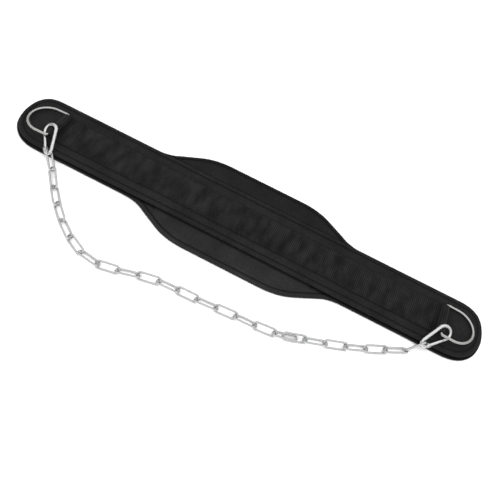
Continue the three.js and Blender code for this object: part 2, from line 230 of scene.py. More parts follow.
class StageSettings(bpy.types.PropertyGroup):
    azimuth: FloatProperty(
        name="Azimuth", description="Camera's turn round the belt",
        default=math.radians(7.37), subtype="ANGLE",
    )
    elevation: FloatProperty(
        name="Elevation", description="Camera's height over the floor",
        default=math.radians(60.37), subtype="ANGLE",
    )
    roll: FloatProperty(
        name="Roll", description="Camera's roll about its own line of sight",
        default=math.radians(20.51), subtype="ANGLE",
    )
    distance: FloatProperty(
        name="Distance", description="From the camera to its target", default=0.7832, unit="LENGTH"
    )
    target: FloatVectorProperty(
        name="Target", description="Point on the floor in the picture's middle", subtype="XYZ",
        default=(0.02528, -0.03362, 0.0),
    )
    lens: FloatProperty(name="Lens", description="Focal length in millimetres", default=38.38)
    sensor: FloatProperty(name="Sensor", description="Sensor's width in millimetres", default=36.0)
    sky: FloatProperty(name="Sky", description="Strength of the light from above", default=1.05)
    horizon: FloatProperty(name="Horizon", description="Strength of the light from the sides", default=0.12)
    key_power: FloatProperty(
        name="Key light", description="Power of the large light on the near side",
        default=14.0,
    )
    top_power: FloatProperty(name="Top light", description="Power of the light over the belt", default=9.0)


class ProfileRow(NamedTuple):
    """A point of a pad's border: how far inward it lies, in stitch insets, and its share of the height."""

    inward: float
    height: float


BASE_BORDER = (
    ProfileRow(0.0, 0.52),
    ProfileRow(0.09, 0.76),
    ProfileRow(0.28, 0.93),
    ProfileRow(0.55, 0.97),
    ProfileRow(0.80, 0.89),
    ProfileRow(0.94, 0.74),
    ProfileRow(1.0, 0.68),
    ProfileRow(1.08, 0.74),
    ProfileRow(1.30, 0.83),
    ProfileRow(1.75, 0.88),
    ProfileRow(2.4, 0.91),
)

BAND_BORDER = (
    ProfileRow(0.0, 0.45),
    ProfileRow(0.07, 0.74),
    ProfileRow(0.22, 0.94),
    ProfileRow(0.45, 1.0),
    ProfileRow(0.75, 0.93),
    ProfileRow(0.93, 0.70),
    ProfileRow(1.0, 0.60),
    ProfileRow(1.07, 0.70),
    ProfileRow(1.28, 0.87),
    ProfileRow(1.7, 0.93),
    ProfileRow(2.4, 0.92),
)


def settings():
    return bpy.context.scene.belt


def blend_rows(rows, place):
    """Height of a border at a place given in stitch insets, eased between its rows."""
    for low, high in zip(rows, rows[1:]):
        if place <= high.inward:
            share = max(0.0, (place - low.inward) / (high.inward - low.inward))
            return low.height + (high.height - low.height) * share
    return rows[-1].height


def ease(value, low, high):
    """0 below low, 1 above high, and smooth in between."""
    share = min(1.0, max(0.0, (value - low) / (high - low)))
    return share * share * (3 - 2 * share)


class Ripple(NamedTuple):
    """Smooth noise: its share of a height, its waves' lengths along and across the belt, and its seed."""

    share: float
    along: float
    across: float
    seed: float


WING_DIPS = Ripple(1.0, 0.045, 0.03, 3.0)
WING_WRINKLES = Ripple(0.4, 0.014, 0.011, 7.0)
BAND_PUCKERS = Ripple(0.8, 0.011, 0.02, 11.0)
BAND_DIPS = Ripple(0.5, 0.05, 0.025, 13.0)
STRAP_SWAY = Ripple(1.0, 0.08, 1.0, 29.0)
STRAP_WAVES = Ripple(0.75, 0.026, 0.06, 17.0)
STRAP_WRINKLES = Ripple(0.28, 0.0095, 0.03, 23.0)


def rippled(ripple, x, y):
    """A ripple's value at a place, from -share to share."""
    return ripple.share * noise.noise(Vector((x / ripple.along, y / ripple.across, ripple.seed)))


def finished(mesh, name, body, material, nodes=(), sharp=None):
    """Turns a bmesh into a smooth piece that rides on a body and stands for its CAD nodes."""
    data = bpy.data.meshes.new(name)
    mesh.to_mesh(data)
    mesh.free()
    data.polygons.foreach_set("use_smooth", [True] * len(data.polygons))
    if sharp is not None:
        data.set_sharp_from_angle(angle=math.radians(sharp))
    data.materials.append(material)
    piece = bpy.data.objects.new(name, data)
    bpy.context.scene.collection.objects.link(piece)
    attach(piece, body)
    if nodes:
        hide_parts(*nodes)
    return piece


def subdivide(piece, levels):
    modifier = piece.modifiers.new("Subdivision", "SUBSURF")
    modifier.levels = levels
    modifier.render_levels = levels
    return piece


# Materials

# The part of a noise texture's range that most of its values lie in.
CLOUD_RANGE = (0.3, 0.7)
LINT_RANGE = (0.25, 0.75)

RIB_PITCH = 0.0028
THREAD_PITCH = 0.0009


class Weave(NamedTuple):
    """A cover's cloth. Its last field is painted light and shade: how much lighter the cloth is painted
    towards -Y, and darker towards +Y, as if lit from the near side. The field before it is the darkest share
    of the painted shade in the cloth's creases.
    """

    pitch: float
    relief: float
    roughness: float
    sheen: float
    crease: float
    painted_side_shade: float


BASE_WEAVE = Weave(pitch=0.0006, relief=0.16, roughness=0.68, sheen=0.04, crease=0.04, painted_side_shade=0.35)
BAND_WEAVE = Weave(pitch=0.0009, relief=0.5, roughness=0.78, sheen=0.04, crease=0.2, painted_side_shade=0.06)


class Plating(NamedTuple):
    """A metal's gloss, and how strongly its drawing marks show."""

    roughness: float
    grain: float


RING_PLATING = Plating(roughness=0.09, grain=0.05)
HOOK_PLATING = Plating(roughness=0.2, grain=0.1)
CHAIN_PLATING = Plating(roughness=0.2, grain=0.14)


def new_material(name, **constants):
    """A material, its tree and its Principled shader, whose sockets are set by name."""
    material = bpy.data.materials.new(name)
    material.use_nodes = True
    tree = material.node_tree
    shader = tree.nodes["Principled BSDF"]
    for socket, value in constants.items():
        shader.inputs[socket.replace("_", " ")].default_value = value
    return material, tree, shader


def node(tree, kind, sources=None, **values):
    """A node with its properties or sockets set by name, and its sockets linked from sources."""
    made = tree.nodes.new("ShaderNode" + kind)
    for name, value in values.items():
        if hasattr(made, name):
            setattr(made, name, value)
        else:
            made.inputs[name.replace("_", " ")].default_value = value
    for socket, source in (sources or {}).items():
        tree.links.new(source, made.inputs[socket])
    return made


def multiply(tree, first, second):
    return node(tree, "Math", {0: first, 1: second}, operation="MULTIPLY").outputs[0]


def spread(tree, source, low, high, source_range=(0.0, 1.0), **values):
    """Maps a value from its own range to low..high."""
    mapped = node(tree, "MapRange", {"Value": source}, **values)
    mapped.inputs["From Min"].default_value, mapped.inputs["From Max"].default_value = source_range
    mapped.inputs["To Min"].default_value = low
    mapped.inputs["To Max"].default_value = high
    return mapped.outputs[0]


def threads(tree, position, direction, pitch):
    """Parallel threads with the given pitch, in metres, as a value from 0 to 1."""
    wave_per_unit = 2 * math.pi / 20
    wave = node(tree, "TexWave", {"Vector": position}, bands_direction=direction, Distortion=0.6)
    wave.inputs["Scale"].default_value = wave_per_unit / pitch
    wave.inputs["Detail"].default_value = 1.0
    wave.inputs["Detail Scale"].default_value = 2.0
    return wave.outputs["Fac"]


def mottle(tree, position, size, detail=3.0):
    """Cloudy noise with patches of about the given size, in metres, as a value from 0 to 1."""
    cloud = node(tree, "TexNoise", {"Vector": position})
    cloud.inputs["Scale"].default_value = 1 / size
    cloud.inputs["Detail"].default_value = detail
    return cloud.outputs["Fac"]


def shaded_colour(tree, colour, factors):
    """A colour darkened or lightened by values that vary over the surface."""
    factor = factors[0]
    for other in factors[1:]:
        factor = multiply(tree, factor, other)
    scaled = node(tree, "VectorMath", {"Scale": factor}, operation="SCALE")
    scaled.inputs[0].default_value = colour
    return scaled.outputs[0]


def painted_shade_factor(tree, depth):
    """Painted shade: darkening where the piece's shade attribute says that thread pulls the cloth into a
    crease, or that shade falls there.
    """
    crease = node(tree, "Attribute", attribute_name="crease")
    return spread(tree, crease.outputs["Fac"], 1.0, depth)


def painted_side_shading(tree, position, painted_side_shade):
    """Painted light and shade across the belt's width, as if lit from the -Y side: a slow change from 1 + the
    share on its -Y side to 1 - the share on the other.
    """
    across = node(tree, "SeparateXYZ", {0: position}).outputs["Y"]
    half = BOX["base_pad"][1].y
    return spread(tree, across, 1 + painted_side_shade, 1 - painted_side_shade, (-half, half))


def woven_cover(name, colour, weave):
    """Black cover cloth: two sets of threads, lint and soft patches."""
    material, tree, shader = new_material(
        name, Sheen_Weight=weave.sheen, Sheen_Roughness=0.45, Specular_IOR_Level=0.08
    )
    position = node(tree, "TexCoord").outputs["Object"]
    warp = threads(tree, position, "X", weave.pitch)
    weft = threads(tree, position, "Y", weave.pitch)
    cloth = multiply(tree, warp, weft)
    patches = mottle(tree, position, 0.030)
    lint = mottle(tree, position, 0.0017, 2.0)
    factors = [
        spread(tree, patches, 0.78, 1.22, CLOUD_RANGE),
        spread(tree, lint, 0.62, 1.38, LINT_RANGE),
        spread(tree, cloth, 0.88, 1.16),
        # Painted shade in the creases and beside the band's edge, and painted light and shade across the
        # belt's width.
        painted_shade_factor(tree, weave.crease),
        painted_side_shading(tree, position, weave.painted_side_shade),
    ]
    tree.links.new(shaded_colour(tree, colour, factors), shader.inputs["Base Color"])
    gloss = spread(tree, lint, weave.roughness - 0.07, weave.roughness + 0.07)
    tree.links.new(gloss, shader.inputs["Roughness"])
    bumps = node(tree, "Bump", {"Height": cloth}, Strength=weave.relief, Distance=0.0004)
    fuzz = node(tree, "Bump", {"Height": lint, "Normal": bumps.outputs[0]}, Strength=0.22, Distance=0.0003)
    tree.links.new(fuzz.outputs[0], shader.inputs["Normal"])
    return material


def ribbed_webbing(colour):
    """Webbing with ribs across the strap and finer threads along it, with painted shade between the ribs and
    painted light on their crests, painted light and shade on its puckers and painted shade in its creases.
    """
    material, tree, shader = new_material(
        "webbing", Sheen_Weight=0.04, Sheen_Roughness=0.5, Specular_IOR_Level=0.12
    )
    position = node(tree, "TexCoord").outputs["Object"]
    ribs = threads(tree, position, "X", RIB_PITCH)
    lines = threads(tree, position, "Y", THREAD_PITCH)
    # Painted light and shade of the puckers: patches stretched across the strap, lighter and darker in turn
    # along it.
    folds = node(tree, "VectorMath", {0: position}, operation="MULTIPLY")
    folds.inputs[1].default_value = (1.0, 0.4, 1.0)
    patches = mottle(tree, folds.outputs[0], 0.012)
    lint = mottle(tree, position, 0.0011, 2.0)
    factors = [
        spread(tree, patches, 0.4, 1.6, CLOUD_RANGE),
        # Painted shade in the grooves between the ribs and painted light on their crests.
        spread(tree, ribs, 0.5, 1.5),
        spread(tree, lines, 0.9, 1.1),
        spread(tree, lint, 0.7, 1.3, LINT_RANGE),
        painted_shade_factor(tree, 0.3),
    ]
    tree.links.new(shaded_colour(tree, colour, factors), shader.inputs["Base Color"])
    tree.links.new(spread(tree, lint, 0.62, 0.82), shader.inputs["Roughness"])
    weave = node(tree, "Math", {0: multiply(tree, lines, ribs), 1: ribs}, operation="ADD").outputs[0]
    bumps = node(tree, "Bump", {"Height": weave}, Strength=0.55, Distance=0.0005)
    tree.links.new(bumps.outputs[0], shader.inputs["Normal"])
    return material


def sewing_thread(colour):
    """Twisted thread with a slight gloss."""
    material, tree, shader = new_material("thread", Sheen_Weight=0.05, Specular_IOR_Level=0.2)
    position = node(tree, "TexCoord").outputs["Object"]
    twist = mottle(tree, position, 0.0006, 2.0)
    tree.links.new(shaded_colour(tree, colour, [spread(tree, twist, 0.6, 1.5)]), shader.inputs["Base Color"])
    tree.links.new(spread(tree, twist, 0.4, 0.6), shader.inputs["Roughness"])
    return material


def plated_metal(name, colour, plating):
    """Plated wire: a little cloudiness in the gloss and fine drawing marks."""
    material, tree, shader = new_material(name, Metallic=1.0)
    position = node(tree, "TexCoord").outputs["Object"]
    cloud = mottle(tree, position, 0.006)
    fine = mottle(tree, position, 0.0007, 2.0)
    tree.links.new(
        shaded_colour(tree, colour, [spread(tree, cloud, 0.86, 1.1), spread(tree, fine, 0.93, 1.07)]),
        shader.inputs["Base Color"],
    )
    gloss = spread(tree, cloud, plating.roughness * 0.7, plating.roughness * 1.4)
    tree.links.new(gloss, shader.inputs["Roughness"])
    bumps = node(tree, "Bump", {"Height": fine}, Strength=plating.grain, Distance=0.0001)
    tree.links.new(bumps.outputs[0], shader.inputs["Normal"])
    return material


# Pads

OUTLINE_SMOOTHINGS = 3
STRAIGHT = math.radians(0.6)
UNDER_INSET = 0.25  # share of a pad's thickness
NEAR_FACE = 0.001  # share of a pad's thickness
# Painted shade: a fixed share on a pad's sides, and a band of it along the stitched line.
SIDE_PAINTED_SHADE = 0.6
SEWN_PAINTED_SHADE = (0.02, 0.22)  # distance from the stitched line, in stitch insets
WING_BULGE = 0.8
WING_INSIDE = 3.2  # in stitch insets
# Painted shadow on the base pad begins this far out from the band's edge.
PAINTED_SHADOW_START = 0.0005
PUCKER_PLACE = 1.3  # in stitch insets
PUCKER_FADE = 1.6


def outline_face(node_name, inset=0.0):
    """A bmesh holding the level outline of a CAD pad as one face, drawn in by an inset."""
    low, high = BOX[node_name]
    middle = (low.z + high.z) / 2
    mesh = bmesh.new()
    mesh.from_mesh(frame["nodes"][node_name].data)
    bmesh.ops.remove_doubles(mesh, verts=mesh.verts, dist=MERGE)
    bmesh.ops.bisect_plane(
        mesh,
        geom=mesh.verts[:] + mesh.edges[:] + mesh.faces[:],
        plane_co=(0, 0, middle),
        plane_no=(0, 0, 1),
        clear_inner=True,
        clear_outer=True,
    )
    bmesh.ops.remove_doubles(mesh, verts=mesh.verts, dist=MERGE)
    bmesh.ops.contextual_create(mesh, geom=mesh.edges[:])
    bmesh.ops.dissolve_limit(mesh, angle_limit=STRAIGHT, verts=mesh.verts[:], edges=mesh.edges[:])
    step = settings().pads.outline_step
    for edge in mesh.edges[:]:
        cuts = math.ceil(edge.calc_length() / step) - 1
        if cuts > 0:
            bmesh.ops.subdivide_edges(mesh, edges=[edge], cuts=cuts)
    for _ in range(OUTLINE_SMOOTHINGS):
        bmesh.ops.smooth_vert(mesh, verts=mesh.verts[:], factor=0.5, use_axis_x=True, use_axis_y=True)
    mesh.faces.ensure_lookup_table()
    face = mesh.faces[0]
    face.normal_update()
    if face.normal.z < 0:
        face.normal_flip()
    if inset > 0:
        ring = drawn_in(mesh, face, inset)
        bmesh.ops.delete(mesh, geom=ring, context="FACES")
        mesh.faces.ensure_lookup_table()
    return mesh


def drawn_in(mesh, face, inset):
    """Draws a face in by an inset and returns the ring of faces round it."""
    return bmesh.ops.inset_region(
        mesh, faces=[face], thickness=inset, use_even_offset=True, use_boundary=True
    )["faces"]


def edge_distance(mesh):
    """A function that gives a point's distance from the edge of a one-face mesh."""
    samples = []
    for edge in mesh.edges:
        start, end = (vert.co.xy for vert in edge.verts)
        samples += [start.lerp(end, i / 8) for i in range(8)]
    tree = KDTree(len(samples))
    for i, sample in enumerate(samples):
        tree.insert(sample.to_3d(), i)
    tree.balance()
    return lambda point: tree.find((point.x, point.y, 0.0))[2]


def lattice(mesh, face, step):
    """Cuts a face into squares."""
    low = Vector((min(v.co.x for v in face.verts), min(v.co.y for v in face.verts)))
    high = Vector((max(v.co.x for v in face.verts), max(v.co.y for v in face.verts)))
    part = [face] + list(face.edges) + list(face.verts)
    for axis, normal in enumerate(((1, 0, 0), (0, 1, 0))):
        count = math.ceil((high[axis] - low[axis]) / step)
        for i in range(1, count):
            place = [0.0, 0.0, 0.0]
            place[axis] = low[axis] + (high[axis] - low[axis]) * i / count
            cut = bmesh.ops.bisect_plane(mesh, geom=part, plane_co=place, plane_no=normal)
            part = cut["geom"]


def soft_pad(node_name, border, stitch_inset, height_at, painted_shade_at=lambda point: 0.0):
    """A pad with a sewn border: rings inward from its edge, squares inside them, heights by a function."""
    low, high = BOX[node_name]
    mesh = outline_face(node_name)
    distance = edge_distance(mesh)
    top = mesh.faces[0]
    for vert in mesh.verts:
        vert.co.z = high.z
    extruded = bmesh.ops.extrude_face_region(mesh, geom=[top], use_keep_orig=True)
    bottom = next(part for part in extruded["geom"] if isinstance(part, bmesh.types.BMFace))
    bmesh.ops.translate(mesh, verts=bottom.verts, vec=(0, 0, low.z - high.z))
    walls = [edge for edge in mesh.edges if abs(edge.verts[0].co.z - edge.verts[1].co.z) > MERGE]
    bmesh.ops.subdivide_edges(mesh, edges=walls, cuts=2)
    under = UNDER_INSET * (high.z - low.z)
    drawn_in(mesh, bottom, under)
    for before, after in zip(border, border[1:]):
        drawn_in(mesh, top, (after.inward - before.inward) * stitch_inset)
    lattice(mesh, top, settings().pads.grid_step)
    lattice(mesh, bottom, 4 * settings().pads.grid_step)
    crease = mesh.verts.layers.float.new("crease")
    rim = border[0].height * (high.z - low.z)
    for vert in mesh.verts:
        inward = distance(vert.co)
        share = (vert.co.z - low.z) / (high.z - low.z)
        on_top = share > 1 - NEAR_FACE
        if on_top:
            vert.co.z = height_at(vert.co, inward)
        elif share > NEAR_FACE:
            vert.co.z = low.z + under + (rim - under) * share
        elif inward < under / 2:
            vert.co.z = low.z + under
        # Painted shade: the top is darkened along the stitched line's crease and where the given function
        # paints shadow; the sides get a fixed painted shade.
        sewn = 1 - ease(abs(inward - stitch_inset) / stitch_inset, *SEWN_PAINTED_SHADE)
        vert[crease] = max(sewn, painted_shade_at(vert.co)) if on_top else SIDE_PAINTED_SHADE
    bmesh.ops.recalc_face_normals(mesh, faces=mesh.faces)
    return mesh


def base_height(point, inward):
    """Height of the base pad's top: a sewn border, and wings that swell between it and the band."""
    pads = settings().pads
    low, high = BOX["base_pad"]
    band_edge = BOX["overlay_band"][1].y
    wing_edge = high.y - 2 * pads.base_stitch_inset
    border = blend_rows(BASE_BORDER, inward / pads.base_stitch_inset)
    height = low.z + border * (high.z - low.z)
    beyond = (abs(point.y) - band_edge) / (wing_edge - band_edge)
    swell = math.sin(math.pi * min(1.0, max(0.0, beyond))) ** WING_BULGE * pads.wing_crown
    inside = ease(inward, pads.base_stitch_inset, WING_INSIDE * pads.base_stitch_inset)
    dips = rippled(WING_DIPS, point.x, point.y) + rippled(WING_WRINKLES, point.x, point.y)
    return height + inside * swell + inside * ease(beyond, 0.0, 0.3) * dips * pads.unevenness


def band_edge_painted_shadow(point):
    """Painted shadow on the base pad's cloth beside the band's edge, from 0 to 1."""
    edge = BOX["overlay_band"][1].y
    return 1 - ease(abs(point.y) - edge, PAINTED_SHADOW_START, settings().pads.painted_shadow_reach)


def band_height(point, inward):
    """Height of the band's top: a bound edge, a stitched line and a cover drawn in by its seams."""
    pads = settings().pads
    low, high = BOX["overlay_band"]
    strap_low, strap_high = BOX["strap"]
    border = blend_rows(BAND_BORDER, inward / pads.band_stitch_inset)
    height = low.z + border * (high.z - low.z)
    strap_middle = (strap_low.y + strap_high.y) / 2
    strap_half = (strap_high.y - strap_low.y) / 2
    covered = abs(point.y - strap_middle) < strap_half and strap_low.x < point.x < strap_high.x
    if covered:
        return height
    from_puckers = abs(inward / pads.band_stitch_inset - PUCKER_PLACE)
    puckers = rippled(BAND_PUCKERS, point.x, point.y) * math.exp(-from_puckers * PUCKER_FADE)
    return height + (puckers + rippled(BAND_DIPS, point.x, point.y)) * pads.unevenness


# Wires

CAP_ROUNDING = 0.35  # share of a wire's radius
EAR_ROOM = 0.0003
EAR_SINK = 0.0001
EAR_BEVEL = 0.00025
RIM_ANGLE = 1.2
EAR_ROUNDNESS = 0.9
RIVET_RISE = 0.0002
RIVET_DOME = 0.35
SHANK = 0.6  # share of a rivet head's radius
WELD_STEEPNESS = 9


class Bend(NamedTuple):
    """A bend in the XY plane about a centre, in radians."""

    centre: Vector
    angle: float
    steps: int


class Run(NamedTuple):
    """A straight stretch."""

    vector: Vector
    steps: int


def rounded(mesh, edges, offset, segments):
    bmesh.ops.bevel(
        mesh, geom=edges, offset=offset, segments=segments, profile=0.5, affect="EDGES", material=-1
    )


def wire(start, direction, radius, sides, moves):
    """A round wire that starts at a point in a direction and follows its moves."""
    mesh = bmesh.new()
    turn = direction.to_track_quat("Z", "Y").to_matrix().to_4x4()
    place = Matrix.Translation(start) @ turn
    ring = bmesh.ops.create_circle(mesh, segments=sides, radius=radius, matrix=place)
    edges = list({edge for vert in ring["verts"] for edge in vert.link_edges})
    for move in moves:
        if isinstance(move, Bend):
            part = edges + list({vert for edge in edges for vert in edge.verts})
            spun = bmesh.ops.spin(
                mesh, geom=part, cent=move.centre, axis=(0, 0, 1), angle=move.angle, steps=move.steps,
                use_merge=False,
            )
            edges = [item for item in spun["geom_last"] if isinstance(item, bmesh.types.BMEdge)]
            continue
        for _ in range(move.steps):
            grown = bmesh.ops.extrude_edge_only(mesh, edges=edges)["geom"]
            edges = [item for item in grown if isinstance(item, bmesh.types.BMEdge)]
            verts = [item for item in grown if isinstance(item, bmesh.types.BMVert)]
            bmesh.ops.translate(mesh, verts=verts, vec=move.vector / move.steps)
    bmesh.ops.remove_doubles(mesh, verts=mesh.verts, dist=MERGE)
    open_edges = [edge for edge in mesh.edges if edge.is_boundary]
    if open_edges:
        caps = bmesh.ops.holes_fill(mesh, edges=open_edges)["faces"]
        rims = list({edge for face in caps for edge in face.edges})
        rounded(mesh, rims, radius * CAP_ROUNDING, 3)
    bmesh.ops.recalc_face_normals(mesh, faces=mesh.faces)
    return mesh


def principal_axes(node_name):
    """A CAD node's middle, its axes from the longest to the shortest, and its points."""
    mesh = bmesh.new()
    mesh.from_mesh(frame["nodes"][node_name].data)
    bmesh.ops.remove_doubles(mesh, verts=mesh.verts, dist=MERGE)
    points = np.array([vert.co for vert in mesh.verts])
    mesh.free()
    middle = points.mean(axis=0)
    _, axes = np.linalg.eigh(np.cov((points - middle).T))
    return Vector(middle), [Vector(axes[:, i]) for i in (2, 1, 0)], points


def placed(origin, x_axis, y_axis):
    """The matrix that takes a shape drawn in the XY plane to its place."""
    matrix = Matrix((x_axis, y_axis, x_axis.cross(y_axis))).transposed().to_4x4()
    return Matrix.Translation(origin) @ matrix


def ring_mesh(hardware):
    """A D-ring with its bar on the Y axis and its bow towards +X."""
    side = (hardware.ring_inside + hardware.ring_wire) / 2
    corner = hardware.ring_corner
    inner = side - corner
    limb = hardware.ring_depth - side - corner
    quarter = math.pi / 2
    return wire(
        Vector((0, 0, 0)),
        Vector((0, -1, 0)),
        hardware.ring_wire / 2,
        hardware.wire_sides,
        [
            Run(Vector((0, -inner, 0)), 4),
            Bend(Vector((corner, -inner, 0)), quarter, 5),
            Run(Vector((limb, 0, 0)), 3),
            Bend(Vector((hardware.ring_depth - side, 0, 0)), math.pi, 32),
            Run(Vector((-limb, 0, 0)), 3),
            Bend(Vector((corner, inner, 0)), quarter, 5),
            Run(Vector((0, -inner, 0)), 4),
        ],
    )


def link_mesh(hardware):
    """A welded link, long along X, with its weld halfway along one limb."""
    side = (hardware.link_width - hardware.link_wire) / 2
    straight = (hardware.link_length - hardware.link_width) / 2
    mesh = wire(
        Vector((0, -side, 0)),
        Vector((1, 0, 0)),
        hardware.link_wire / 2,
        hardware.wire_sides,
        [
            Run(Vector((straight, 0, 0)), 3),
            Bend(Vector((straight, 0, 0)), math.pi, 12),
            Run(Vector((-2 * straight, 0, 0)), 24),
            Bend(Vector((-straight, 0, 0)), math.pi, 12),
            Run(Vector((straight, 0, 0)), 3),
        ],
    )
    for vert in mesh.verts:
        if vert.co.y > 0 and abs(vert.co.x) < straight:
            swell = hardware.weld * math.exp(-((vert.co.x / hardware.link_wire) ** 2) * WELD_STEEPNESS)
            middle = Vector((vert.co.x, side, 0))
            vert.co += (vert.co - middle).normalized() * swell
    return mesh


class Hook:
    """A snap hook's lines, with its wide end round the origin, its eye on -Y and its gate's limb on +X."""

    def __init__(self, hardware):
        self.sizes = hardware
        self.wide = (hardware.hook_width - hardware.hook_wire) / 2
        self.eye = hardware.hook_eye
        self.span = hardware.hook_length - hardware.hook_wire - self.wide - self.eye
        self.taper = math.asin((self.wide - self.eye) / self.span)
        self.limb = self.span * math.cos(self.taper)
        self.down = Vector((-math.sin(self.taper), -math.cos(self.taper), 0))
        self.hinge = self.on_limb(self.limb - hardware.hinge_back)

    def on_limb(self, along):
        """A point on the gate's limb, measured from the wide end."""
        start = Vector((self.wide * math.cos(self.taper), -self.wide * math.sin(self.taper), 0))
        return start + along * self.down

    def place(self, side):
        """The matrix of a hook, found from its gate's hinge and tip, and the gate's length."""
        joint = next(row for row in frame["joints"] if row["child"] == "gate_" + side)
        hinge = Vector(joint["pos_m"])
        normal = Vector(joint["axis"]).normalized()
        points = {tuple(round(c, 7) for c in v.co) for v in frame["nodes"]["gate_" + side].data.vertices}
        reach = max((Vector(point) - hinge).length for point in points)
        tip_points = [Vector(point) for point in points if (Vector(point) - hinge).length > 0.97 * reach]
        tip = sum(tip_points, Vector()) / len(tip_points)
        up = (tip - hinge).normalized()
        y_axis = Matrix.Rotation(self.taper, 3, normal) @ up
        x_axis = y_axis.cross(normal)
        origin = hinge - x_axis * self.hinge.x - y_axis * self.hinge.y
        return placed(origin, x_axis, y_axis), (tip - hinge).length


def milled(mesh, centre, radius, half):
    """Flattens a wire near a centre to a tongue."""
    for vert in mesh.verts:
        if (vert.co.xy - centre.xy).length < radius:
            vert.co.z = max(-half, min(half, vert.co.z))


def hook_mesh(hook, gate_length):
    """The hook's wire from its nose round the wide end and the eye to the tongue that carries the gate."""
    sizes = hook.sizes
    nose = hook.limb - sizes.hinge_back - gate_length - sizes.gate_gap
    mesh = wire(
        hook.on_limb(nose),
        -hook.down,
        sizes.hook_wire / 2,
        sizes.wire_sides,
        [
            Run(-hook.down * nose, 4),
            Bend(Vector((0, 0, 0)), math.pi + 2 * hook.taper, 28),
            Run(Vector((-hook.down.x, hook.down.y, 0)) * hook.limb, 6),
            Bend(Vector((0, -hook.span, 0)), math.pi - 2 * hook.taper, 20),
            Run(-hook.down * (sizes.hinge_back + 0.6 * sizes.hinge_radius), 6),
        ],
    )
    milled(mesh, hook.hinge, sizes.hinge_radius * 1.15, sizes.tongue / 2)
    return mesh


def gate_mesh(hook, gate_length):
    """The gate's rod, with two ears that hold the hook's tongue between them."""
    sizes = hook.sizes
    rod_end = sizes.hinge_radius * 1.12
    mesh = wire(
        hook.hinge - hook.down * gate_length,
        hook.down,
        sizes.gate_wire / 2,
        sizes.wire_sides,
        [Run(hook.down * (gate_length - rod_end), 5)],
    )
    outer = sizes.hook_wire / 2 - EAR_SINK
    inner = sizes.tongue / 2 + EAR_ROOM
    for side in (-1, 1):
        place = Matrix.Translation(hook.hinge + Vector((0, 0, side * (outer + inner) / 2)))
        ear = bmesh.ops.create_cone(
            mesh, cap_ends=True, segments=28, radius1=sizes.hinge_radius, radius2=sizes.hinge_radius,
            depth=outer - inner, matrix=place,
        )["verts"]
        for vert in ear:
            forward = (hook.hinge - vert.co).to_2d().dot(hook.down.to_2d())
            if forward > 0:
                vert.co -= hook.down * sizes.hinge_radius * EAR_ROUNDNESS
        rims = [edge for edge in mesh.edges if edge.verts[0] in ear and edge.calc_face_angle(0) > RIM_ANGLE]
        rounded(mesh, rims, EAR_BEVEL, 2)
    return mesh


def rivet_mesh(hook):
    """A rivet through ears and tongue, with a low domed head on each side."""
    sizes = hook.sizes
    head_height = sizes.hook_wire / 2 + RIVET_RISE
    mesh = bmesh.new()
    place = Matrix.Translation(hook.hinge)
    bmesh.ops.create_cone(
        mesh, cap_ends=True, segments=16, radius1=SHANK * sizes.rivet, radius2=SHANK * sizes.rivet,
        depth=2 * head_height, matrix=place,
    )
    for side in (-1, 1):
        place = Matrix.Translation(hook.hinge + Vector((0, 0, side * head_height)))
        dome = place @ Matrix.Diagonal((1, 1, RIVET_DOME, 1))
        bmesh.ops.create_uvsphere(mesh, u_segments=16, v_segments=10, radius=sizes.rivet, matrix=dome)
    return mesh


# Stitches

THREAD_FLATNESS = 0.8
PAD_THREAD_LIFT = 0.00012
STRAP_THREAD_LIFT = 0.0001
BAND_CLEARANCE = 0.002
ROW_END = 0.003  # from the seam to the ends of the strap's long rows
SEAM_ROW = 0.002
TAIL_ROW = 0.003
ROW_STEPS = 240


def add_stitches(mesh, points, stitching, closed):
    """Lays stitches along a line of points, each a small sunk bead of thread."""
    line = points + points[:1] if closed else points
    lengths = [0.0]
    for start, end in zip(line, line[1:]):
        lengths.append(lengths[-1] + (end - start).length)
    count = int(lengths[-1] / stitching.pitch)
    index = 0
    for i in range(count):
        along = (i + 0.5) * lengths[-1] / count
        while lengths[index + 1] < along:
            index += 1
        start, end = line[index], line[index + 1]
        share = (along - lengths[index]) / max(MERGE, lengths[index + 1] - lengths[index])
        middle = start.lerp(end, share)
        turn = (end - start).to_track_quat("X", "Z").to_matrix().to_4x4()
        shape = Matrix.Diagonal((stitching.length / stitching.thread, 1, THREAD_FLATNESS, 1))
        bmesh.ops.create_uvsphere(
            mesh, u_segments=6, v_segments=4, radius=stitching.thread / 2,
            matrix=Matrix.Translation(middle) @ turn @ shape @ Matrix.Rotation(math.pi / 2, 4, "Y"),
        )


def sewn_loop(node_name, inset, height_at, keep):
    """Stretches of a stitched line at an inset from a pad's edge, on its surface, where keep says so."""
    mesh = outline_face(node_name, inset)
    corners = [vert.co.copy() for vert in mesh.faces[0].verts]
    mesh.free()
    stretches = [[]]
    for corner in corners:
        if keep(corner):
            corner.z = height_at(corner, inset) + PAD_THREAD_LIFT
            stretches[-1].append(corner)
        elif stretches[-1]:
            stretches.append([])
    return [stretch for stretch in stretches if len(stretch) > 1]


# Strap

FLAT_STEPS = 60
FOLD_DEGREES = range(-90, 121, 15)
LAYER_GAP = 0.0001
SEAM_STEP = 0.0005
SWAY_FADE = (0.07, 0.01)  # from the tail's end, where the sway starts to fade and where it ends
PUCKER_FADE_LENGTH = 0.02
PUCKER_MEAN = 0.5
EDGE_HOLD = 0.8  # how much of the puckers the sewn edges take away
EDGE_HOLD_RANGE = (0.36, 0.49)  # from the strap's middle, in strap widths
STRAP_FACES = (420, 26)
LEAN_END = 0.004
# Painted shade on the strap: a dark valley beside the seam that holds each fold, and a fainter one along the
# sewn edges.
SEAM_SHADE_SHIFT = 0.001
SEAM_PAINTED_SHADE_RANGE = (0.0015, 0.0065)
EDGE_PAINTED_SHADE = 0.5
EDGE_PAINTED_SHADE_RANGE = (0.008, 0.03)  # in strap widths


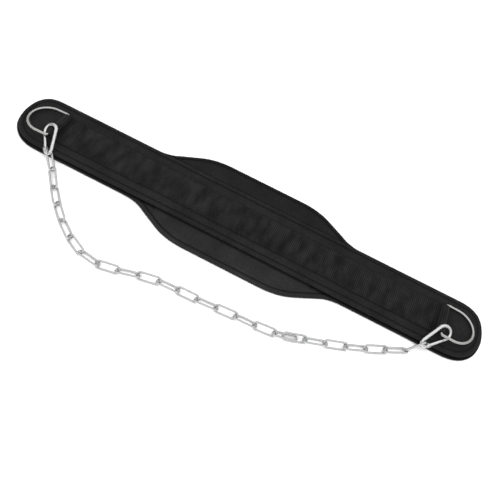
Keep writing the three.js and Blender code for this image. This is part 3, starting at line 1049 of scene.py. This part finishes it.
class StrapRoute:
    """The inner line of the folded strap in the XZ plane, from one tail round both bars to the other."""

    def __init__(self, strap):
        low, high = BOX["strap"]
        self.sizes = strap
        self.width = high.y - low.y
        self.middle = (low.y + high.y) / 2
        fold = settings().hardware.ring_wire / 2 + strap.bar_fit + strap.thickness
        self.bar = high.x - fold
        self.seam = self.bar - strap.seam
        self.tail = self.bar - strap.tail
        self.lean = (high.z - low.z - 2 * fold) / self.width
        self.inner = low.z + strap.thickness
        upper = self.inner + LAYER_GAP
        radius = fold - strap.thickness
        centre = low.z + fold
        half = [(self.seam * i / FLAT_STEPS, self.inner) for i in range(FLAT_STEPS + 1)]
        for degrees in FOLD_DEGREES:
            angle = math.radians(degrees)
            half.append((self.bar + radius * math.cos(angle), centre + radius * math.sin(angle)))
        half += [(self.seam - SEAM_STEP, upper), (self.tail + strap.tail_taper, upper)]
        half.append((self.tail, upper - strap.tail_press))
        mirrored = [(-x, z) for x, z in reversed(half[1:])]
        self.points = [Vector((x, 0, z)) for x, z in mirrored + half]
        self.lengths = [0.0]
        for start, end in zip(self.points, self.points[1:]):
            self.lengths.append(self.lengths[-1] + (end - start).length)

    def at(self, along):
        """The point at a length along the route."""
        index = 0
        while index < len(self.lengths) - 2 and self.lengths[index + 1] < along:
            index += 1
        start, end = self.points[index], self.points[index + 1]
        share = (along - self.lengths[index]) / (self.lengths[index + 1] - self.lengths[index])
        return start.lerp(end, share)

    def sway(self, x):
        """How far the sewn strap wanders to the side at a place along the belt."""
        fade_start, fade_end = SWAY_FADE
        free = 1 - ease(abs(x), self.tail - fade_start, self.tail - fade_end)
        return free * self.sizes.sway * rippled(STRAP_SWAY, x, 0.0)

    def top(self, x, y):
        """Height of the strap's visible face at a place, with the tails lying on the strap."""
        past_end = (abs(x) - self.tail) / self.sizes.tail_taper
        pressed = self.sizes.tail_press * max(0.0, 1 - past_end)
        doubled = self.sizes.thickness - pressed if past_end > 0 else 0.0
        return self.inner + doubled + self.pucker(x, y)

    def pucker(self, x, y):
        """How far the sewn strap stands off the band at a place."""
        ends = 1 - ease(abs(x), self.tail - PUCKER_FADE_LENGTH, self.tail)
        edges = 1 - EDGE_HOLD * ease(abs(y - self.middle) / self.width, *EDGE_HOLD_RANGE)
        raised = PUCKER_MEAN + rippled(STRAP_WAVES, x, y) + rippled(STRAP_WRINKLES, x, y)
        return ends * edges * max(0.0, raised) * self.sizes.pucker


def strap_mesh(route):
    """A flat strip laid along the route, with waves where it is sewn down, then given its thickness."""
    strap = route.sizes
    length = route.lengths[-1]
    mesh = bmesh.new()
    bmesh.ops.create_grid(mesh, x_segments=STRAP_FACES[0], y_segments=STRAP_FACES[1], size=0.5)
    bmesh.ops.scale(mesh, verts=mesh.verts, vec=(length, route.width, 1))
    crease = mesh.verts.layers.float.new("crease")
    for vert in mesh.verts:
        point = route.at(vert.co.x + length / 2)
        y = route.middle + vert.co.y + route.sway(point.x)
        across = abs(vert.co.y) / route.width
        leaning = ease(abs(point.x), route.seam, route.bar - LEAN_END)
        lift = route.lean * (route.width / 2 - vert.co.y) * leaning
        flat = abs(point.z - route.inner) < MERGE and abs(point.x) < route.seam
        wave = route.pucker(point.x, y) if flat else 0.0
        vert.co = Vector((point.x, y, point.z + lift + wave))
        # Painted shade: dark beside the seams, fainter along the sewn rows at the edges, and none past the
        # bars.
        seam_valley_shade = 1 - ease(abs(abs(point.x) - route.seam + SEAM_SHADE_SHIFT), *SEAM_PAINTED_SHADE_RANGE)
        from_row = abs(across - 0.5 + settings().stitches.strap_inset / route.width)
        sewn_edge_shade = 1 - ease(from_row, *EDGE_PAINTED_SHADE_RANGE)
        vert[crease] = max(seam_valley_shade if abs(point.x) < route.bar else 0.0, EDGE_PAINTED_SHADE * sewn_edge_shade)
    mesh.normal_update()
    bmesh.ops.solidify(mesh, geom=mesh.faces[:], thickness=strap.thickness)
    bmesh.ops.recalc_face_normals(mesh, faces=mesh.faces)
    return mesh


# Stage

FLOOR_HALF = 6.0
SKY_RISE = (0.1, 0.7)  # sine of the height at which the sky starts and ends to brighten


class Lamp(NamedTuple):
    """A round lamp that points at the camera's target."""

    name: str
    place: Vector
    size: float
    power: str


LAMPS = (
    Lamp("key", Vector((-0.2, -1.1, 1.1)), 1.1, "key_power"),
    Lamp("top", Vector((0.25, 0.15, 1.4)), 0.9, "top_power"),
)


# Operators


class BELT_OT_base_pad(bpy.types.Operator):
    """Make the base pad with the back's two wings"""

    bl_idname = "belt.base_pad"
    bl_label = "Base Pad"

    def execute(self, context):
        pads = context.scene.belt.pads
        mesh = soft_pad("base_pad", BASE_BORDER, pads.base_stitch_inset, base_height, band_edge_painted_shadow)
        material = woven_cover("base_cover", pads.base_colour, BASE_WEAVE)
        piece = finished(mesh, "base_padding", "belt", material, ["base_pad"])
        subdivide(piece, 1)
        return {"FINISHED"}


class BELT_OT_overlay_band(bpy.types.Operator):
    """Make the padded band that lies along the base pad"""

    bl_idname = "belt.overlay_band"
    bl_label = "Overlay Band"

    def execute(self, context):
        pads = context.scene.belt.pads
        mesh = soft_pad("overlay_band", BAND_BORDER, pads.band_stitch_inset, band_height)
        material = woven_cover("band_cover", pads.band_colour, BAND_WEAVE)
        piece = finished(mesh, "band_padding", "belt", material, ["overlay_band"])
        subdivide(piece, 1)
        return {"FINISHED"}


class BELT_OT_strap(bpy.types.Operator):
    """Make the webbing strap, folded round the bars of both D-rings"""

    bl_idname = "belt.strap"
    bl_label = "Strap"

    def execute(self, context):
        strap = context.scene.belt.strap
        mesh = strap_mesh(StrapRoute(strap))
        finished(mesh, "webbing_strap", "belt", ribbed_webbing(strap.colour), ["strap"], sharp=50)
        return {"FINISHED"}


class BELT_OT_stitching(bpy.types.Operator):
    """Sew the lines along the wings, the band and the strap"""

    bl_idname = "belt.stitching"
    bl_label = "Stitching"

    def execute(self, context):
        belt = context.scene.belt
        stitching = belt.stitches
        band_edge = BOX["overlay_band"][1].y
        thread = sewing_thread(stitching.colour)
        pads = bmesh.new()
        base_line = sewn_loop(
            "base_pad", belt.pads.base_stitch_inset, base_height,
            lambda point: abs(point.y) > band_edge + BAND_CLEARANCE,
        )
        band_line = sewn_loop("overlay_band", belt.pads.band_stitch_inset, band_height, lambda point: True)
        for stretch in base_line:
            add_stitches(pads, stretch, stitching, closed=False)
        for stretch in band_line:
            add_stitches(pads, stretch, stitching, closed=True)
        finished(pads, "pad_stitches", "belt", thread)
        route = StrapRoute(belt.strap)
        rows = bmesh.new()
        reach = route.seam - ROW_END
        half = route.width / 2 - stitching.strap_inset
        for side in (-1, 1):
            line = []
            for i in range(ROW_STEPS + 1):
                x = reach * (2 * i / ROW_STEPS - 1)
                y = route.middle + side * half + route.sway(x)
                line.append(Vector((x, y, route.top(x, y) + STRAP_THREAD_LIFT)))
            add_stitches(rows, line, stitching, closed=False)
            for x in (side * (route.seam - SEAM_ROW), side * (route.tail + TAIL_ROW)):
                z = route.top(x, 0.0) + STRAP_THREAD_LIFT
                ends = [Vector((x, route.middle + end * half, z)) for end in (-1, 1)]
                add_stitches(rows, ends, stitching, closed=False)
        finished(rows, "strap_stitches", "belt", thread)
        return {"FINISHED"}


class BELT_OT_d_rings(bpy.types.Operator):
    """Make the two D-rings in the strap's folds"""

    bl_idname = "belt.d_rings"
    bl_label = "D-rings"

    def execute(self, context):
        hardware = context.scene.belt.hardware
        material = plated_metal("nickel", hardware.nickel, RING_PLATING)
        for name, side in SIDES.items():
            _, axes, points = principal_axes("d_ring_" + name)
            x_axis = max(axes[:2], key=lambda axis: abs(axis.x))
            x_axis *= math.copysign(1, x_axis.x * side)
            normal = axes[2] * math.copysign(1, axes[2].z)
            y_axis = normal.cross(x_axis)
            along = points @ np.array(x_axis)
            bar = along.min() + hardware.ring_wire / 2 * math.cos(math.pi / 8)
            middle = Vector(points.mean(axis=0))
            origin = middle + x_axis * (bar - middle.dot(x_axis))
            mesh = ring_mesh(hardware)
            bmesh.ops.transform(mesh, matrix=placed(origin, x_axis, y_axis), verts=mesh.verts)
            finished(mesh, "ring_" + name, "belt", material, ["d_ring_" + name], sharp=60)
        return {"FINISHED"}


class BELT_OT_snap_hooks(bpy.types.Operator):
    """Make the two snap hooks with their gates and rivets"""

    bl_idname = "belt.snap_hooks"
    bl_label = "Snap Hooks"

    def execute(self, context):
        hardware = context.scene.belt.hardware
        hook = Hook(hardware)
        material = plated_metal("hook_zinc", hardware.hook_zinc, HOOK_PLATING)
        for name in SIDES:
            matrix, gate_length = hook.place(name)
            pieces = (
                ("snap_hook_", hook_mesh(hook, gate_length), "belt", "carabiner_"),
                ("hook_gate_", gate_mesh(hook, gate_length), "gate_" + name, "gate_"),
                ("hook_rivet_", rivet_mesh(hook), "belt", "gate_rivet_"),
            )
            for prefix, mesh, body, node_prefix in pieces:
                bmesh.ops.transform(mesh, matrix=matrix, verts=mesh.verts)
                finished(mesh, prefix + name, body, material, [node_prefix + name], sharp=40)
        return {"FINISHED"}


class BELT_OT_chain(bpy.types.Operator):
    """Make the chain's links where they lie"""

    bl_idname = "belt.chain"
    bl_label = "Chain"

    def execute(self, context):
        hardware = context.scene.belt.hardware
        material = plated_metal("chain_zinc", hardware.chain_zinc, CHAIN_PLATING)
        for name in LINK_NODES:
            middle, axes, _ = principal_axes(name)
            mesh = link_mesh(hardware)
            bmesh.ops.transform(mesh, matrix=placed(middle, axes[0], axes[1]), verts=mesh.verts)
            finished(mesh, "chain_" + name, "belt", material, [name], sharp=60)
        return {"FINISHED"}


class BELT_OT_stage(bpy.types.Operator):
    """Set up the floor, the light and the camera"""

    bl_idname = "belt.stage"
    bl_label = "Stage"

    def execute(self, context):
        scene = context.scene
        stage = scene.belt.stage
        target = Vector(stage.target)
        back = Vector(
            (
                math.sin(stage.azimuth) * math.cos(stage.elevation),
                -math.cos(stage.azimuth) * math.cos(stage.elevation),
                math.sin(stage.elevation),
            )
        )
        camera_data = bpy.data.cameras.new("camera")
        camera_data.lens = stage.lens
        camera_data.sensor_width = stage.sensor
        camera = bpy.data.objects.new("camera", camera_data)
        scene.collection.objects.link(camera)
        turn = back.to_track_quat("Z", "Y").to_matrix().to_4x4()
        camera.matrix_world = (
            Matrix.Translation(target + back * stage.distance) @ turn @ Matrix.Rotation(stage.roll, 4, "Z")
        )
        scene.camera = camera

        mesh = bmesh.new()
        bmesh.ops.create_grid(mesh, x_segments=1, y_segments=1, size=FLOOR_HALF)
        data = bpy.data.meshes.new("floor")
        mesh.to_mesh(data)
        mesh.free()
        floor = bpy.data.objects.new("floor", data)
        scene.collection.objects.link(floor)
        material, _, _ = new_material(
            "floor", Base_Color=(0.9, 0.9, 0.9, 1), Roughness=0.9, Specular_IOR_Level=0.1
        )
        data.materials.append(material)

        world = bpy.data.worlds.new("studio")
        world.use_nodes = True
        tree = world.node_tree
        background = tree.nodes["Background"]
        background.inputs["Color"].default_value = (1, 1, 1, 1)
        height = node(tree, "SeparateXYZ", {0: node(tree, "TexCoord").outputs["Generated"]}).outputs["Z"]
        glow = spread(tree, height, stage.horizon, stage.sky, SKY_RISE, interpolation_type="SMOOTHSTEP")
        tree.links.new(glow, background.inputs["Strength"])
        scene.world = world

        for lamp in LAMPS:
            light = bpy.data.lights.new(lamp.name, "AREA")
            light.shape = "DISK"
            light.size = lamp.size
            light.energy = getattr(stage, lamp.power)
            placed_lamp = bpy.data.objects.new(lamp.name, light)
            aim = (lamp.place - target).to_track_quat("Z", "Y").to_matrix().to_4x4()
            placed_lamp.matrix_world = Matrix.Translation(lamp.place) @ aim
            placed_lamp.visible_glossy = False
            scene.collection.objects.link(placed_lamp)

        scene.view_settings.view_transform = "Standard"
        return {"FINISHED"}


class BeltSettings(bpy.types.PropertyGroup):
    pads: PointerProperty(type=PadSettings)
    strap: PointerProperty(type=StrapSettings)
    hardware: PointerProperty(type=HardwareSettings)
    stitches: PointerProperty(type=StitchSettings)
    stage: PointerProperty(type=StageSettings)


OPERATORS = (
    BELT_OT_stage,
    BELT_OT_base_pad,
    BELT_OT_overlay_band,
    BELT_OT_strap,
    BELT_OT_stitching,
    BELT_OT_d_rings,
    BELT_OT_snap_hooks,
    BELT_OT_chain,
)


class BELT_PT_panel(bpy.types.Panel):
    """The belt's pieces and their sizes"""

    bl_idname = "BELT_PT_panel"
    bl_label = "Weightlifting Belt"
    bl_space_type = "VIEW_3D"
    bl_region_type = "UI"
    bl_category = "Belt"

    def draw(self, context):
        belt = context.scene.belt
        for operator in OPERATORS:
            self.layout.operator(operator.bl_idname)
        for name in ("pads", "strap", "hardware", "stitches", "stage"):
            group = getattr(belt, name)
            box = self.layout.box()
            box.label(text=name.capitalize())
            for field in group.bl_rna.properties:
                if field.identifier not in ("name", "rna_type"):
                    box.prop(group, field.identifier)


CLASSES = (
    PadSettings,
    StrapSettings,
    HardwareSettings,
    StitchSettings,
    StageSettings,
    BeltSettings,
    *OPERATORS,
    BELT_PT_panel,
)


def register():
    for cls in CLASSES:
        bpy.utils.register_class(cls)
    bpy.types.Scene.belt = PointerProperty(type=BeltSettings)


def unregister():
    del bpy.types.Scene.belt
    for cls in reversed(CLASSES):
        bpy.utils.unregister_class(cls)


def main():
    register()
    bpy.ops.belt.stage()
    bpy.ops.belt.base_pad()
    bpy.ops.belt.overlay_band()
    bpy.ops.belt.strap()
    bpy.ops.belt.stitching()
    bpy.ops.belt.d_rings()
    bpy.ops.belt.snap_hooks()
    bpy.ops.belt.chain()


if __name__ == "__main__":
    main()
